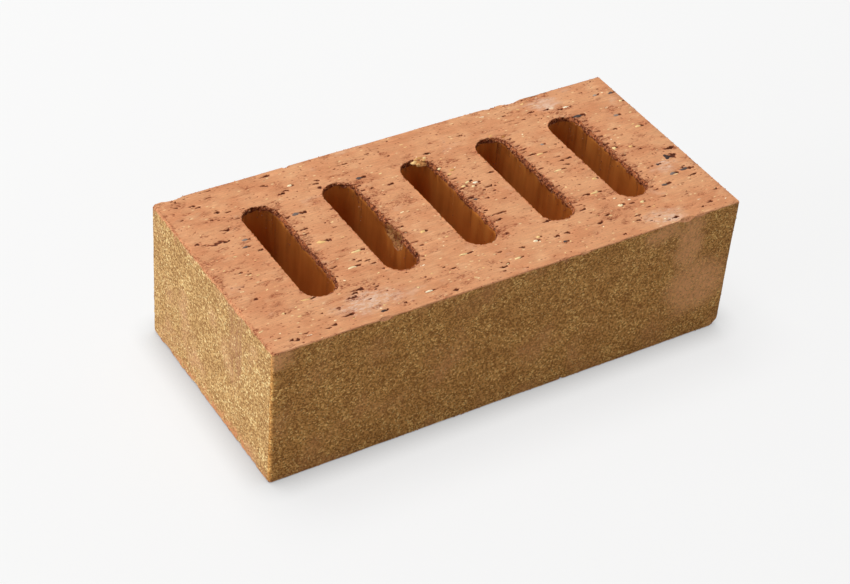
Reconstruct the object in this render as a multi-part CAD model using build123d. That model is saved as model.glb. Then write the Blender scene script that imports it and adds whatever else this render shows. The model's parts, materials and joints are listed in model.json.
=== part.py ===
from build123d import *

import math
import os
from random import Random

# A fired clay facing brick with five slots, cut by wires from a column that a die formed.
# Sizes are in millimetres. X runs along the length, Y across the width with the front face
# at -Y, and Z upwards. The origin is the middle of the lower bed, as the brick lies.

# Outside of the brick
LENGTH = 215.0
WIDTH = 102.5
HEIGHT = 65.0

# Upright edges, which the corners of the die leave slightly round
CORNER_RADIUS = 1.6

# One row of slots, from bed to bed. Each ends in half circles as wide as the slot.
SLOT_COUNT = 5
SLOT_LENGTH = 61.0
SLOT_WIDTH = 14.6
SLOT_PITCH = 36.2

# Place of the row's middle, a little towards the back and the left end
ROW_OFFSET_X = -0.6
ROW_OFFSET_Y = 1.3

# Edges of the two beds, broken by handling and firing
EDGE_BREAK = 0.5

# The wire travels towards -X. Where it leaves clay, at the right side of every slot and at
# the left end, it tears a jagged slope out of the edge. Its furthest points reach this far
# over the bed and down the wall, and the others fall short by a random part of the spread.
MOUTH_TEAR_REACH = 1.4
MOUTH_TEAR_DEPTH = 1.6
MOUTH_TEAR_SPREAD = 1.1
END_TEAR_REACH = 0.9
END_TEAR_DEPTH = 1.2
END_TEAR_SPREAD = 0.7
TEAR_PITCH = 1.9
TEAR_SEED = 7

# Each point wanders along the edge by up to this share of the pitch
TEAR_WANDER = 0.3

# Chips that handling broke out of the bed edges: which edge, the place along it from the
# left end or from the front, the chip's length and its depth
CHIPS = [
    ("upper front", 48.0, 7.0, 1.1),
    ("upper front", 138.0, 5.0, 0.8),
    ("upper front", 188.0, 8.0, 1.3),
    ("upper front", 195.0, 6.0, 0.9),
    ("upper back", 9.0, 11.0, 1.0),
    ("upper back", 59.5, 3.2, 1.1),
    ("upper back", 158.0, 9.0, 0.9),
    ("upper back", 168.0, 12.0, 1.2),
    ("upper left", 29.0, 7.0, 1.3),
    ("upper left", 35.0, 5.0, 0.9),
    ("lower front", 134.5, 3.0, 0.9),
    ("lower left", 63.0, 9.0, 1.1),
    ("lower left", 88.0, 12.0, 1.2),
]

# Corners that are worn round, and the depth worn off each
WORN_CORNERS = [
    ("lower front right", 2.4),
    ("upper back left", 1.2),
    ("upper front right", 1.0),
    ("lower back left", 1.4),
]
WEAR_RADIUS = 30.0

# Clay that fell out of the right wall of the slot nearest to a place, under its upper mouth:
# the place from the left end and from the front, how far below the bed, and the hollow's
# length and depth
FALLEN_CLAY = [
    (71.0, 49.0, 2.7, 8.0, 1.3),
    (71.0, 43.5, 3.3, 10.0, 1.9),
]

# Cutting shapes run this far past the faces that they cut
OVERSHOOT = 1.0


def column():
    """The clay between two wire cuts, with round upright edges and broken bed edges."""
    section = RectangleRounded(LENGTH, WIDTH, CORNER_RADIUS)
    block = extrude(section, HEIGHT)
    beds = block.faces().filter_by(Axis.Z)
    return chamfer(beds.edges(), EDGE_BREAK)


def slot_section():
    """Outline of one slot, its length across the brick."""
    return SlotOverall(SLOT_LENGTH, SLOT_WIDTH, rotation=90)


def slot_places():
    """Middle of each slot, from the left end to the right."""
    middle = (SLOT_COUNT - 1) / 2
    return [Pos(ROW_OFFSET_X + SLOT_PITCH * (i - middle), ROW_OFFSET_Y) for i in range(SLOT_COUNT)]


def slots():
    """Straight walls from bed to bed, as the cores in the die leave them."""
    through = extrude(slot_section(), HEIGHT + 2 * OVERSHOOT)
    return [place * Pos(0, 0, -OVERSHOOT) * through for place in slot_places()]


def tear_points(length, spread, chance):
    """Points along a torn edge: the place of each, and how far it reaches past the shallowest."""
    count = max(2, round(length / TEAR_PITCH))
    pitch = length / count
    for step in range(count):
        along = (step + 0.5 + chance.uniform(-TEAR_WANDER, TEAR_WANDER)) * pitch
        yield along, spread * chance.random()


def rim_point(along, reach):
    """A point near the right side of a slot's outline, for a distance along it from its middle."""
    radius = SLOT_WIDTH / 2
    straight_end = SLOT_LENGTH / 2 - radius
    angle = math.copysign(max(0.0, abs(along) - straight_end) / radius, along)
    centre = math.copysign(min(abs(along), straight_end), along)
    inset = radius - MOUTH_TEAR_SPREAD + reach
    return (inset * math.cos(angle), centre + inset * math.sin(angle))


def mouth_outline(chance):
    """The jagged right half of a slot's outline, which at this level still lies inside the slot."""
    length = SLOT_LENGTH - SLOT_WIDTH + math.pi * SLOT_WIDTH / 2
    points = tear_points(length, MOUTH_TEAR_SPREAD, chance)
    rim = [rim_point(along - length / 2, reach) for along, reach in points]
    end = SLOT_LENGTH / 2 - MOUTH_TEAR_SPREAD
    return make_face(Polyline(*rim, (0, end), (0, -end), close=True))


def end_outline(chance):
    """A strip outside the left end with a jagged right side."""
    edge = -LENGTH / 2 - END_TEAR_SPREAD
    points = tear_points(WIDTH, END_TEAR_SPREAD, chance)
    rim = [(edge + reach, along - WIDTH / 2) for along, reach in points]
    outside = edge - END_TEAR_REACH - OVERSHOOT
    end = WIDTH / 2 + OVERSHOOT
    corners = [(edge, end), (outside, end), (outside, -end), (edge, -end)]
    return make_face(Polyline(*rim, *corners, close=True))


def tear(outline, reach, depth):
    """An outline pushed towards +X as it rises, which slopes its right side into the clay."""
    lean = Vector(reach, 0, depth)
    run = lean.length * (1 + OVERSHOOT / depth)
    return Pos(0, 0, HEIGHT - depth) * extrude(outline, run, dir=lean)


def torn_bed(chance):
    """What the wire tore out of the upper bed: all slots' mouths and the left end."""
    mouths = [
        place * tear(mouth_outline(chance), MOUTH_TEAR_REACH, MOUTH_TEAR_DEPTH)
        for place in slot_places()
    ]
    return mouths + [tear(end_outline(chance), END_TEAR_REACH, END_TEAR_DEPTH)]


def tears():
    """The tears of the upper bed, and others like them on the lower one."""
    chance = Random(TEAR_SEED)
    middle = Plane.XY.offset(HEIGHT / 2)
    upper = torn_bed(chance)
    lower = torn_bed(chance)
    return upper + [mirror(cut, middle) for cut in lower]


def outward(words):
    """The direction out of the brick that words such as upper front name."""
    x = ("right" in words) - ("left" in words)
    y = ("back" in words) - ("front" in words)
    z = ("upper" in words) - ("lower" in words)
    return Vector(x, y, z)


def spot_on(words, place=0.0):
    """A point on the named edge, at a place from the left end or the front, or a named corner."""
    out = outward(words)
    x = out.X * LENGTH / 2 if out.X else place - LENGTH / 2
    y = out.Y * WIDTH / 2 if out.Y else place - WIDTH / 2
    return Vector(x, y, HEIGHT * (1 + out.Z) / 2)


def ball_through(length, depth):
    """The radius of a ball that leaves a hollow this long and deep."""
    return ((length / 2) ** 2 + depth**2) / (2 * depth)


def chips():
    """Hollows along the bed edges, cut by balls that hang outside them."""
    cuts = []
    for edge, place, length, depth in CHIPS:
        radius = ball_through(length, depth)
        away = outward(edge).normalized() * (radius - depth)
        cuts.append(Pos(spot_on(edge, place) + away) * Sphere(radius))
    return cuts


def fallen_clay():
    """Hollows under the upper mouth of a slot, in its right wall."""
    cuts = []
    for from_left, from_front, below, length, depth in FALLEN_CLAY:
        radius = ball_through(length, depth)
        middles = [place.position.X for place in slot_places()]
        nearest = min(middles, key=lambda middle: abs(middle - from_left + LENGTH / 2))
        wall = nearest + SLOT_WIDTH / 2
        middle = Vector(wall - (radius - depth), from_front - WIDTH / 2, HEIGHT - below)
        cuts.append(Pos(middle) * Sphere(radius))
    return cuts


def worn_corners():
    """What lies outside a large ball at each worn corner."""
    cuts = []
    for corner, depth in WORN_CORNERS:
        tip = spot_on(corner)
        inward = outward(corner).normalized() * -(WEAR_RADIUS + depth)
        region = Pos(tip) * Box(WEAR_RADIUS, WEAR_RADIUS, WEAR_RADIUS)
        cuts.append(region - Pos(tip + inward) * Sphere(WEAR_RADIUS))
    return cuts


brick = column() - slots() - tears() - chips() - fallen_clay() - worn_corners()
brick.label = "brick"

os.makedirs("parts", exist_ok=True)
export_step(brick, "parts/brick.step")
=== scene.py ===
# %% [markdown]
# A clay facing brick with five slots.
#
# A real brick of this kind is pushed out of a die as an endless column. Sand is thrown on
# its four sides, wires cut it across, and the kiln fires it. That history is what the eye
# reads: two cut faces, full of small tears that all point one way, four sanded sides, and
# slots with smooth walls. Each step below makes one of those marks.

# %% Load the frame
import json
import math

import bmesh
import bpy
import numpy as np
from mathutils import Matrix, Vector

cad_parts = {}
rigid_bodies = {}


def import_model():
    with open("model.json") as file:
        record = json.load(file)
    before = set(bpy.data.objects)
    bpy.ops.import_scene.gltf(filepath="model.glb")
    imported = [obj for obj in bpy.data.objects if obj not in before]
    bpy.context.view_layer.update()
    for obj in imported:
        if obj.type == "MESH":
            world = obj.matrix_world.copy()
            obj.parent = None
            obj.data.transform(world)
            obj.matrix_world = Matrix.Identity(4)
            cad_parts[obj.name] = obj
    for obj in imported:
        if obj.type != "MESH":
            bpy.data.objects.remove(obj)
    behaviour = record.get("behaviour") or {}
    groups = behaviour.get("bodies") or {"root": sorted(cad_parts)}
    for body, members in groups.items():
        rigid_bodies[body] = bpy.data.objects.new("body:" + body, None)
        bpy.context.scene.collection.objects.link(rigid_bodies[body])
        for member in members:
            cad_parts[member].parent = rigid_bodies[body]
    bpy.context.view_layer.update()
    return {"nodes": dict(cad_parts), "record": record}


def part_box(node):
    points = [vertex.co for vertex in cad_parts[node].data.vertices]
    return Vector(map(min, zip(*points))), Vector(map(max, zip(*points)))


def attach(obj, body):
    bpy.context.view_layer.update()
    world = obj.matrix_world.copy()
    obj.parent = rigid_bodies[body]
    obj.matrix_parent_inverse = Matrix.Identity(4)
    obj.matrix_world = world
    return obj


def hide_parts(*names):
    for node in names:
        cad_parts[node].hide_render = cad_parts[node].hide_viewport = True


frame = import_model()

MM = 0.001
brick_low, brick_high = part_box("brick")
LENGTH, WIDTH, HEIGHT = brick_high - brick_low
print("brick in mm:", [round(size / MM, 2) for size in (LENGTH, WIDTH, HEIGHT)])

# %% [markdown]
# The slots. The record holds one open box inside each slot, so its middle is the slot's
# middle. The width and length are those of the die's cores.

# %% Slot places
SLOT_WIDTH = 14.6 * MM
SLOT_LENGTH = 61 * MM
SLOT_END_RADIUS = SLOT_WIDTH / 2
SLOT_STRAIGHT = SLOT_LENGTH - SLOT_WIDTH
slot_boxes = [np.array(opening["box_m"]) for opening in frame["record"]["physics"]["openings"]]
slot_middles = np.array([box.mean(axis=0)[:2] for box in slot_boxes])
print("slot middles in mm:", (slot_middles / MM).round(2).tolist())

# %% [markdown]
# The camera stands where the photographer stood, found from the brick's seven visible
# corners. It comes first, because everything that follows is judged through it.

# %% Camera
CAMERA_TARGET = Vector((-14.33, -8.28, 30.0)) * MM
CAMERA_DISTANCE = 864.6 * MM
CAMERA_AZIMUTH = math.radians(-33.99)
CAMERA_ELEVATION = math.radians(38.77)
CAMERA_ROLL = math.radians(4.84)
CAMERA_LENS = 90.49


def add_object(name, data):
    """A new object, put in the scene."""
    thing = bpy.data.objects.new(name, data)
    bpy.context.scene.collection.objects.link(thing)
    return thing


def place_camera():
    """Makes the camera at the photograph's angle."""
    level = math.cos(CAMERA_ELEVATION)
    away = Vector((math.sin(CAMERA_AZIMUTH), -math.cos(CAMERA_AZIMUTH), 0)) * level
    back = away + Vector((0, 0, math.sin(CAMERA_ELEVATION)))
    right = Vector((0, 0, 1)).cross(back).normalized()
    up = back.cross(right)
    rolled_right = math.cos(CAMERA_ROLL) * right + math.sin(CAMERA_ROLL) * up
    rolled_up = math.cos(CAMERA_ROLL) * up - math.sin(CAMERA_ROLL) * right
    turn = Matrix((rolled_right, rolled_up, back)).transposed()
    data = bpy.data.cameras.new("camera")
    data.sensor_width = 36
    data.lens = CAMERA_LENS
    data.clip_start = 0.01
    camera = add_object("camera", data)
    camera.matrix_world = Matrix.Translation(CAMERA_TARGET + back * CAMERA_DISTANCE) @ turn.to_4x4()
    bpy.context.scene.camera = camera
    return camera


for name in ("Camera", "Cube", "Light"):
    if name in bpy.data.objects:
        bpy.data.objects.remove(bpy.data.objects[name])
camera = place_camera()
bpy.context.scene.view_settings.view_transform = "Standard"
print("camera in mm:", [round(part / MM) for part in camera.matrix_world.translation])

# %% [markdown]
# Node trees are easier to read when one call makes a node, sets it up and wires its inputs.
# A value that is a socket is linked, and anything else is written into the input. The class
# keeps the tree, and has a short call for each kind of node that comes up again and again.

# %% Short calls for nodes


class Nodes:
    """A node tree, emptied, with short calls that add nodes to it."""

    def __init__(self, tree):
        self.tree = tree
        tree.nodes.clear()

    def add(self, kind, inputs=None, **settings):
        """Adds a node. inputs maps a socket's name or number to a value or to another socket."""
        node = self.tree.nodes.new(kind)
        for key, value in settings.items():
            setattr(node, key, value)
        for key, value in (inputs or {}).items():
            if isinstance(value, bpy.types.NodeSocket):
                self.tree.links.new(value, node.inputs[key])
            else:
                node.inputs[key].default_value = value
        return node

    def output(self, kind, inputs=None, **settings):
        """Adds a node, and gives its first output."""
        return self.add(kind, inputs, **settings).outputs[0]

    def ramp(self, value, low, high, to_low=0.0, to_high=1.0, kind="SMOOTHSTEP"):
        """Stretches a value between two limits, and holds it there."""
        limits = {"From Min": low, "From Max": high, "To Min": to_low, "To Max": to_high}
        return self.output("ShaderNodeMapRange", {"Value": value, **limits}, interpolation_type=kind)

    def times(self, first, second):
        """Two numbers multiplied."""
        return self.output("ShaderNodeMath", {0: first, 1: second}, operation="MULTIPLY")

    def plus(self, first, second):
        """Two numbers added."""
        return self.output("ShaderNodeMath", {0: first, 1: second}, operation="ADD")

    def scaled(self, vector, share):
        """A vector multiplied by a number."""
        return self.output("ShaderNodeVectorMath", {0: vector, "Scale": share}, operation="SCALE")

    def seen_or_lit(self, seen, lit):
        """One shader for what the camera sees, and another for what the light meets."""
        ray = self.add("ShaderNodeLightPath").outputs["Is Camera Ray"]
        return self.output("ShaderNodeMixShader", {0: ray, 1: lit, 2: seen})


class Material(Nodes):
    """A material being made."""

    def __init__(self, name):
        self.made = bpy.data.materials.new(name)
        self.made.use_nodes = True
        super().__init__(self.made.node_tree)

    def surface(self, shader):
        """Wires a shader to the surface."""
        self.add("ShaderNodeOutputMaterial", {"Surface": shader})


def colour(red, green, blue):
    """A colour as a screen shows it, from 0 to 255, turned into a shader's linear one."""
    shares = [share / 255 for share in (red, green, blue)]
    return [s / 12.92 if s <= 0.04045 else ((s + 0.055) / 1.055) ** 2.4 for s in shares] + [1.0]


# %% [markdown]
# The light. A large soft box hangs above and a little behind, so the cut face is bright, the
# slots stay dark and the shadow is short. A wide low card on the left lights the short side
# without reaching into the slots. The long front side gets only what the pale room sends
# back, so it is the darkest. A black flag above the front keeps that light off the far ends
# of the slots.

# %% Light
BOX_DIRECTION = Vector((-0.06, 0.23, 0.96)).normalized()
BOX_DISTANCE = 2.0
BOX_SIZE = (1.2, 1.2)
BOX_POWER = 30
CARD_DIRECTION = Vector((-0.98, 0.10, 0.13)).normalized()
CARD_DISTANCE = 2.5
CARD_SIZE = (1.8, 0.5)
CARD_POWER = 44
FLAG_DIRECTION = Vector((0.0, -0.5, 0.87)).normalized()
FLAG_DISTANCE = 1.2
FLAG_SIZE = (1.8, 0.98)
WORLD_STRENGTH = 0.43
BACKGROUND_WHITE = 0.935
WHITE = (1, 1, 1, 1)
BLACK = (0.01, 0.01, 0.01, 1)


def add_lamp(name, direction, distance, size, power):
    """A rectangular soft lamp that points at the brick."""
    data = bpy.data.lights.new(name, "AREA")
    data.shape = "RECTANGLE"
    data.size, data.size_y = size
    data.energy = power
    lamp = add_object(name, data)
    lamp.location = direction * distance
    lamp.rotation_mode = "QUATERNION"
    lamp.rotation_quaternion = direction.to_track_quat("Z", "Y")


def make_flag():
    """A black rectangle that only light meets, not the camera."""
    x, y = FLAG_SIZE[0] / 2, FLAG_SIZE[1] / 2
    mesh = bpy.data.meshes.new("flag")
    mesh.from_pydata([(-x, -y, 0), (x, -y, 0), (x, y, 0), (-x, y, 0)], [], [(0, 1, 2, 3)])
    cloth = Material("flag_cloth")
    cloth.surface(cloth.output("ShaderNodeBsdfDiffuse", {"Color": BLACK}))
    mesh.materials.append(cloth.made)
    flag = add_object("flag", mesh)
    turn = FLAG_DIRECTION.to_track_quat("Z", "Y").to_matrix().to_4x4()
    flag.matrix_world = Matrix.Translation(FLAG_DIRECTION * FLAG_DISTANCE) @ turn
    flag.visible_camera = False
    return flag


def make_world():
    """Even light from all round, which the camera sees as a white background."""
    world = bpy.data.worlds.new("room")
    world.use_nodes = True
    nodes = Nodes(world.node_tree)
    room = nodes.output("ShaderNodeBackground", {"Color": WHITE, "Strength": WORLD_STRENGTH})
    seen = nodes.output("ShaderNodeBackground", {"Color": WHITE, "Strength": BACKGROUND_WHITE})
    nodes.add("ShaderNodeOutputWorld", {"Surface": nodes.seen_or_lit(seen, room)})
    bpy.context.scene.world = world


add_lamp("soft_box", BOX_DIRECTION, BOX_DISTANCE, BOX_SIZE, BOX_POWER)
add_lamp("low_card", CARD_DIRECTION, CARD_DISTANCE, CARD_SIZE, CARD_POWER)
make_world()
print("lamps in watts:", {"soft_box": BOX_POWER, "low_card": CARD_POWER})

# %% [markdown]
# The floor is white to the camera and grey to the light, which keeps the front side from
# being washed out. Most of its white is its own glow, so that it takes only a soft shadow,
# and close under the brick ambient occlusion dims the glow: a painted contact shadow.

# %% Floor
FLOOR_RADIUS = 4.0
FLOOR_SEEN = (0.87, 0.87, 0.865, 1)
FLOOR_BOUNCE = (0.42, 0.42, 0.42, 1)
FLOOR_GLOW = 0.75
CONTACT_SHADOW_REACH = 12 * MM
CONTACT_SHADOW_GLOW = 0.35


def make_floor():
    """A round pale floor under the brick."""
    builder = bmesh.new()
    bmesh.ops.create_circle(builder, cap_ends=True, radius=FLOOR_RADIUS, segments=96)
    mesh = bpy.data.meshes.new("floor")
    builder.to_mesh(mesh)
    builder.free()
    paint = Material("floor_paint")
    shade = paint.output("ShaderNodeBsdfDiffuse", {"Color": FLOOR_SEEN})
    # Painted contact shadow: ambient occlusion dims the floor's glow close under the brick.
    around = paint.add("ShaderNodeAmbientOcclusion", {"Distance": CONTACT_SHADOW_REACH}, samples=8)
    dimmest = CONTACT_SHADOW_GLOW * BACKGROUND_WHITE
    strength = paint.ramp(around.outputs["AO"], 0, 1, dimmest, BACKGROUND_WHITE, "LINEAR")
    glow = paint.output("ShaderNodeEmission", {"Color": WHITE, "Strength": strength})
    seen = paint.output("ShaderNodeMixShader", {0: FLOOR_GLOW, 1: shade, 2: glow})
    bounce = paint.output("ShaderNodeBsdfDiffuse", {"Color": FLOOR_BOUNCE})
    paint.surface(paint.seen_or_lit(seen, bounce))
    mesh.materials.append(paint.made)
    return add_object("floor", mesh)


floor = make_floor()
flag = make_flag()
print("stage:", floor.name, "and", flag.name)

# %% [markdown]
# Relief needs a steady random pattern. Value noise gives each whole-number place a random
# height and blends between them, so a size in millimetres is the size of its lumps.

# %% Noise in plain arrays


def steady_random(cell, seed):
    """A number from 0 to 1 for each whole-number place, the same on every run."""
    mixed = cell @ np.array([374761393, 668265263, 1440662683]) + seed * 1274126177
    mixed &= 0xFFFFFFFF
    mixed = ((mixed ^ (mixed >> 13)) * 1274126177) & 0xFFFFFFFF
    return ((mixed ^ (mixed >> 16)) & 0xFFFF) / 65535.0


def noise(points, size, seed):
    """Smooth noise from -1 to 1. size is a lump's, in mm: one number, or three for X, Y and Z."""
    place = points / (np.array(size) * MM)
    cell = np.floor(place).astype(np.int64)
    share = place - cell
    share = share * share * (3 - 2 * share)
    total = np.zeros(len(points))
    for corner in np.ndindex(2, 2, 2):
        weight = np.ones(len(points))
        for axis in range(3):
            weight *= share[:, axis] if corner[axis] else 1 - share[:, axis]
        total += weight * steady_random(cell + np.array(corner), seed)
    return total * 2 - 1


def ease(value, start, end):
    """0 up to start, 1 from end, and smooth between. start may be above end."""
    share = np.clip((value - start) / (end - start), 0, 1)
    return share * share * (3 - 2 * share)


# %% [markdown]
# Three distances say where a point lies: how far it is from the nearest slot's wall, from
# the brick's sides and from the nearer cut face. They are plain geometry of round-ended slots
# and of a rectangle with rounded corners.

# %% Distances to the slots, the sides and the cut faces
CORNER_RADIUS = 1.6 * MM


def from_slot(points):
    """Distance into the clay from the nearest slot's wall, and the direction away from that slot."""
    best = np.full(len(points), np.inf)
    away = np.zeros((len(points), 2))
    for middle in slot_middles:
        offset = points[:, :2] - middle
        offset[:, 1] -= np.clip(offset[:, 1], -SLOT_STRAIGHT / 2, SLOT_STRAIGHT / 2)
        reach = np.linalg.norm(offset, axis=1)
        nearer = reach - SLOT_END_RADIUS < best
        best[nearer] = reach[nearer] - SLOT_END_RADIUS
        away[nearer] = offset[nearer] / np.maximum(reach[nearer], 1e-9)[:, None]
    return best, away


def from_side(points):
    """Distance into the clay from the brick's upright sides."""
    half = np.array([LENGTH, WIDTH]) / 2 - CORNER_RADIUS
    offset = np.abs(points[:, :2]) - half
    outside = np.linalg.norm(np.maximum(offset, 0), axis=1)
    inside = np.minimum(offset.max(axis=1), 0)
    return CORNER_RADIUS - outside - inside


def from_cut(points):
    """Distance from the nearer cut face."""
    return np.minimum(points[:, 2], HEIGHT - points[:, 2])


def from_left_and_back(left, back):
    """A place on a cut face, from millimetres off the left end and off the back edge."""
    return np.array([-LENGTH / 2 + left * MM, WIDTH / 2 - back * MM])


def in_patches(across, up, patches):
    """How far each place is inside one of some soft oval patches in mm, from 0 to 1."""
    found = np.zeros(len(across))
    for patch in patches:
        middle_across, middle_up, half_across, half_up = np.array(patch) * MM
        reach = np.hypot((across - middle_across) / half_across, (up - middle_up) / half_up)
        found = np.maximum(found, ease(reach, 1.35, 0.55))
    return found


# %% [markdown]
# Stones. The clay holds some hard grey and black ones and some soft cream lumps. They come
# before the wire's marks, because each was pushed along and left a hole at its right.

# %% Stones that stand out
# Millimetres from the left end and from the back edge, then length, width and thickness
DARK_STONES = [
    (206.0, 63.0, 4.2, 3.4, 1.4),
    (207.2, 73.4, 3.4, 1.9, 1.0),
    (200.9, 73.8, 3.0, 1.8, 1.0),
    (199.0, 66.1, 1.9, 1.6, 0.9),
    (193.5, 78.8, 3.0, 1.5, 0.9),
    (204.3, 28.5, 2.4, 1.5, 0.8),
    (189.0, 21.8, 3.6, 1.9, 0.9),
    (211.8, 13.1, 2.6, 1.6, 0.9),
    (204.7, 11.8, 2.0, 1.2, 0.8),
    (82.7, 20.5, 2.8, 1.6, 0.8),
    (48.5, 30.7, 3.0, 2.0, 1.0),
    (49.3, 98.0, 2.0, 1.2, 0.8),
    (20.6, 41.0, 2.2, 1.2, 0.8),
    (22.7, 36.8, 2.2, 1.1, 0.8),
    (135.0, 92.7, 1.9, 1.2, 0.8),
    (118.0, 53.5, 1.6, 1.1, 0.7),
    (163.5, 33.0, 1.5, 1.0, 0.7),
]
CREAM_STONES = [
    (48.6, 50.8, 4.4, 1.6, 0.9),
    (58.0, 62.0, 3.4, 1.2, 0.8),
    (51.0, 70.0, 3.8, 1.2, 0.8),
    (26.0, 79.5, 4.2, 1.1, 0.7),
    (94.5, 82.0, 4.0, 1.0, 0.7),
    (124.6, 87.2, 2.0, 1.7, 0.9),
    (127.0, 85.5, 1.6, 1.1, 0.8),
    (120.8, 42.0, 2.4, 1.5, 0.8),
    (123.6, 43.6, 2.6, 1.3, 0.8),
    (118.2, 43.8, 1.8, 1.2, 0.7),
    (121.8, 45.6, 1.5, 1.0, 0.7),
    (87.6, 62.5, 2.2, 1.5, 0.9),
    (14.6, 83.0, 1.4, 1.0, 0.7),
    (55.0, 13.0, 1.8, 1.1, 0.7),
    (158.5, 38.5, 3.4, 1.0, 0.7),
    (159.2, 51.5, 4.0, 0.9, 0.7),
    (188.2, 14.1, 2.6, 1.0, 0.7),
    (208.1, 39.4, 2.6, 1.4, 0.8),
    (212.4, 20.2, 2.0, 1.2, 0.8),
    (196.5, 50.5, 1.8, 1.1, 0.7),
    (189.4, 48.3, 2.0, 1.6, 0.9),
    (168.4, 82.6, 2.4, 1.7, 0.9),
    (169.6, 62.7, 1.8, 1.4, 0.8),
    (112.0, 93.5, 2.8, 0.9, 0.7),
    (70.5, 95.5, 3.2, 0.9, 0.7),
    (164.0, 71.0, 3.4, 0.9, 0.7),
    (178.0, 84.5, 1.8, 1.2, 0.8),
]

# %% [markdown]
# What the cutting wire did. It ran from right to left, towards -X, through both cut faces.
# A hard grain that it met was dragged along: it left a hole where it sat, deepest at the
# right, and a groove that fades to the left. Where the wire came out of clay, at the right
# side of each slot and at the left end, it broke small scoops out of the edge.

# %% Drag pits
FACES = {"top": (HEIGHT, 1.0), "bottom": (0.0, -1.0)}
PIT_COUNT = {"top": 400, "bottom": 150}
rng = np.random.default_rng(20)


def scatter_pits(count):
    """Random pits as rows of x, y, length, width and depth. They gather where clay was coarse."""
    x = rng.uniform(-LENGTH / 2 + 2 * MM, LENGTH / 2 - 2 * MM, 3 * count)
    y = rng.uniform(-WIDTH / 2 + 1.5 * MM, WIDTH / 2 - 1.5 * MM, 3 * count)
    coarse = noise(np.stack([x, y, 0 * x], axis=1), 11, 71)
    kept = np.argsort(-coarse - 1.6 * rng.random(3 * count))[:count]
    large = rng.random(count) ** 2.2
    length = (1.0 + 3.4 * large) * MM * rng.uniform(0.7, 1.3, count)
    width = (0.55 + 0.75 * large) * MM * rng.uniform(0.7, 1.3, count)
    depth = (0.3 + 0.5 * large) * MM * rng.uniform(0.7, 1.3, count)
    return np.stack([x[kept], y[kept], length, width, depth], axis=1)


def tears_beside_slots():
    """Grooves that start at the right wall of a slot, where the wire came out of the clay."""
    rows = []
    for middle in slot_middles:
        for y in np.arange(-SLOT_LENGTH / 2 + 2 * MM, SLOT_LENGTH / 2 - 1 * MM, 3.1 * MM):
            length = rng.uniform(1.2, 6.0) * MM
            x = middle[0] + SLOT_END_RADIUS + length / 2 - 0.4 * MM
            y += middle[1] + rng.uniform(-1, 1) * MM
            rows.append([x, y, length, rng.uniform(0.5, 1.2) * MM, rng.uniform(0.2, 0.7) * MM])
    return np.array(rows)


# The long marks that stand out, as millimetres from the left end and from the back edge,
# then length, width and depth
LONG_MARKS = [
    (9.0, 34.0, 16.0, 2.0, 0.35),
    (15.5, 34.6, 4.0, 1.0, 0.9),
    (80.5, 9.4, 7.5, 0.7, 0.9),
    (50.5, 30.6, 6.0, 1.7, 0.6),
    (35.7, 94.2, 7.0, 1.2, 1.0),
    (119.5, 65.5, 11.0, 1.1, 0.8),
    (117.5, 69.0, 7.0, 1.0, 0.7),
    (157.5, 12.8, 11.0, 0.4, 0.3),
    (155.0, 37.3, 6.5, 0.9, 0.8),
    (113.5, 54.0, 5.5, 0.9, 0.9),
    (135.0, 12.7, 3.6, 0.9, 0.8),
    (179.0, 12.0, 4.5, 1.3, 0.8),
    (47.8, 3.2, 6.0, 0.9, 0.8),
    (21.5, 6.0, 4.5, 0.7, 0.7),
    (23.0, 1.9, 5.0, 0.6, 0.7),
    (116.0, 17.7, 4.5, 1.6, 0.9),
    (138.5, 88.5, 3.5, 1.8, 0.9),
    (28.0, 27.0, 3.0, 0.8, 0.6),
    (210.0, 58.2, 7.0, 1.8, 0.9),
    (203.0, 96.6, 3.6, 1.3, 0.8),
    (45.5, 83.0, 8.0, 2.0, 0.6),
    (41.5, 86.0, 7.0, 1.4, 0.5),
    (12.0, 98.5, 3.2, 1.1, 0.8),
    (16.5, 96.5, 3.6, 0.8, 0.7),
]


def pits_of_stones(stones):
    """The hole that each stone was pushed out of, a little longer and right of it."""
    rows = []
    for left, back, length, width, thickness in stones:
        place = from_left_and_back(left + 0.45 * length, back)
        rows.append([*place, 1.4 * length * MM, width * MM, (0.35 + 0.3 * thickness) * MM])
    return rows


pits = {}
for face, count in PIT_COUNT.items():
    pits[face] = np.concatenate([scatter_pits(count), tears_beside_slots()])
long_pits = [[*from_left_and_back(*row[:2]), *(np.array(row[2:]) * MM)] for row in LONG_MARKS]
pits["top"] = np.concatenate([pits["top"], long_pits, pits_of_stones(DARK_STONES + CREAM_STONES)])
print("drag pits:", {face: len(rows) for face, rows in pits.items()})

# %% [markdown]
# The solid has the large bites and chips. These are the small scoops between them. Each is
# an ellipsoid with its middle just outside the clay and its own size along the edge, into
# the face and down the wall. Exit edges get close ones, the other edges a few light nicks.

# %% Scoops out of the edges
TEAR_OVER_BED = 1.5 * MM
HALF_OUTLINE = SLOT_STRAIGHT + math.pi * SLOT_END_RADIUS


def slot_rim(middle, along):
    """A point on a slot's outline and the direction into the clay, for a distance along it."""
    side = 1 if along < HALF_OUTLINE else -1
    step = along if side > 0 else along - HALF_OUTLINE
    if step < SLOT_STRAIGHT:
        spot, away = Vector((SLOT_END_RADIUS, step - SLOT_STRAIGHT / 2)), Vector((1, 0))
    else:
        angle = (step - SLOT_STRAIGHT) / SLOT_END_RADIUS
        away = Vector((math.cos(angle), math.sin(angle)))
        spot = Vector((0, SLOT_STRAIGHT / 2)) + SLOT_END_RADIUS * away
    return Vector(middle) + side * spot, side * away


def scoop(spot, away, z, down, along_size, into_size, down_size):
    """One scoop as its middle, three directions and three sizes."""
    inward = Vector((away[0], away[1], 0))
    along = Vector((-away[1], away[0], 0))
    depth = Vector((0, 0, down))
    middle = Vector((spot[0], spot[1], z)) - 0.25 * into_size * inward - 0.25 * down_size * depth
    return [*middle, *along, *inward, *depth, along_size, into_size, down_size]


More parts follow.
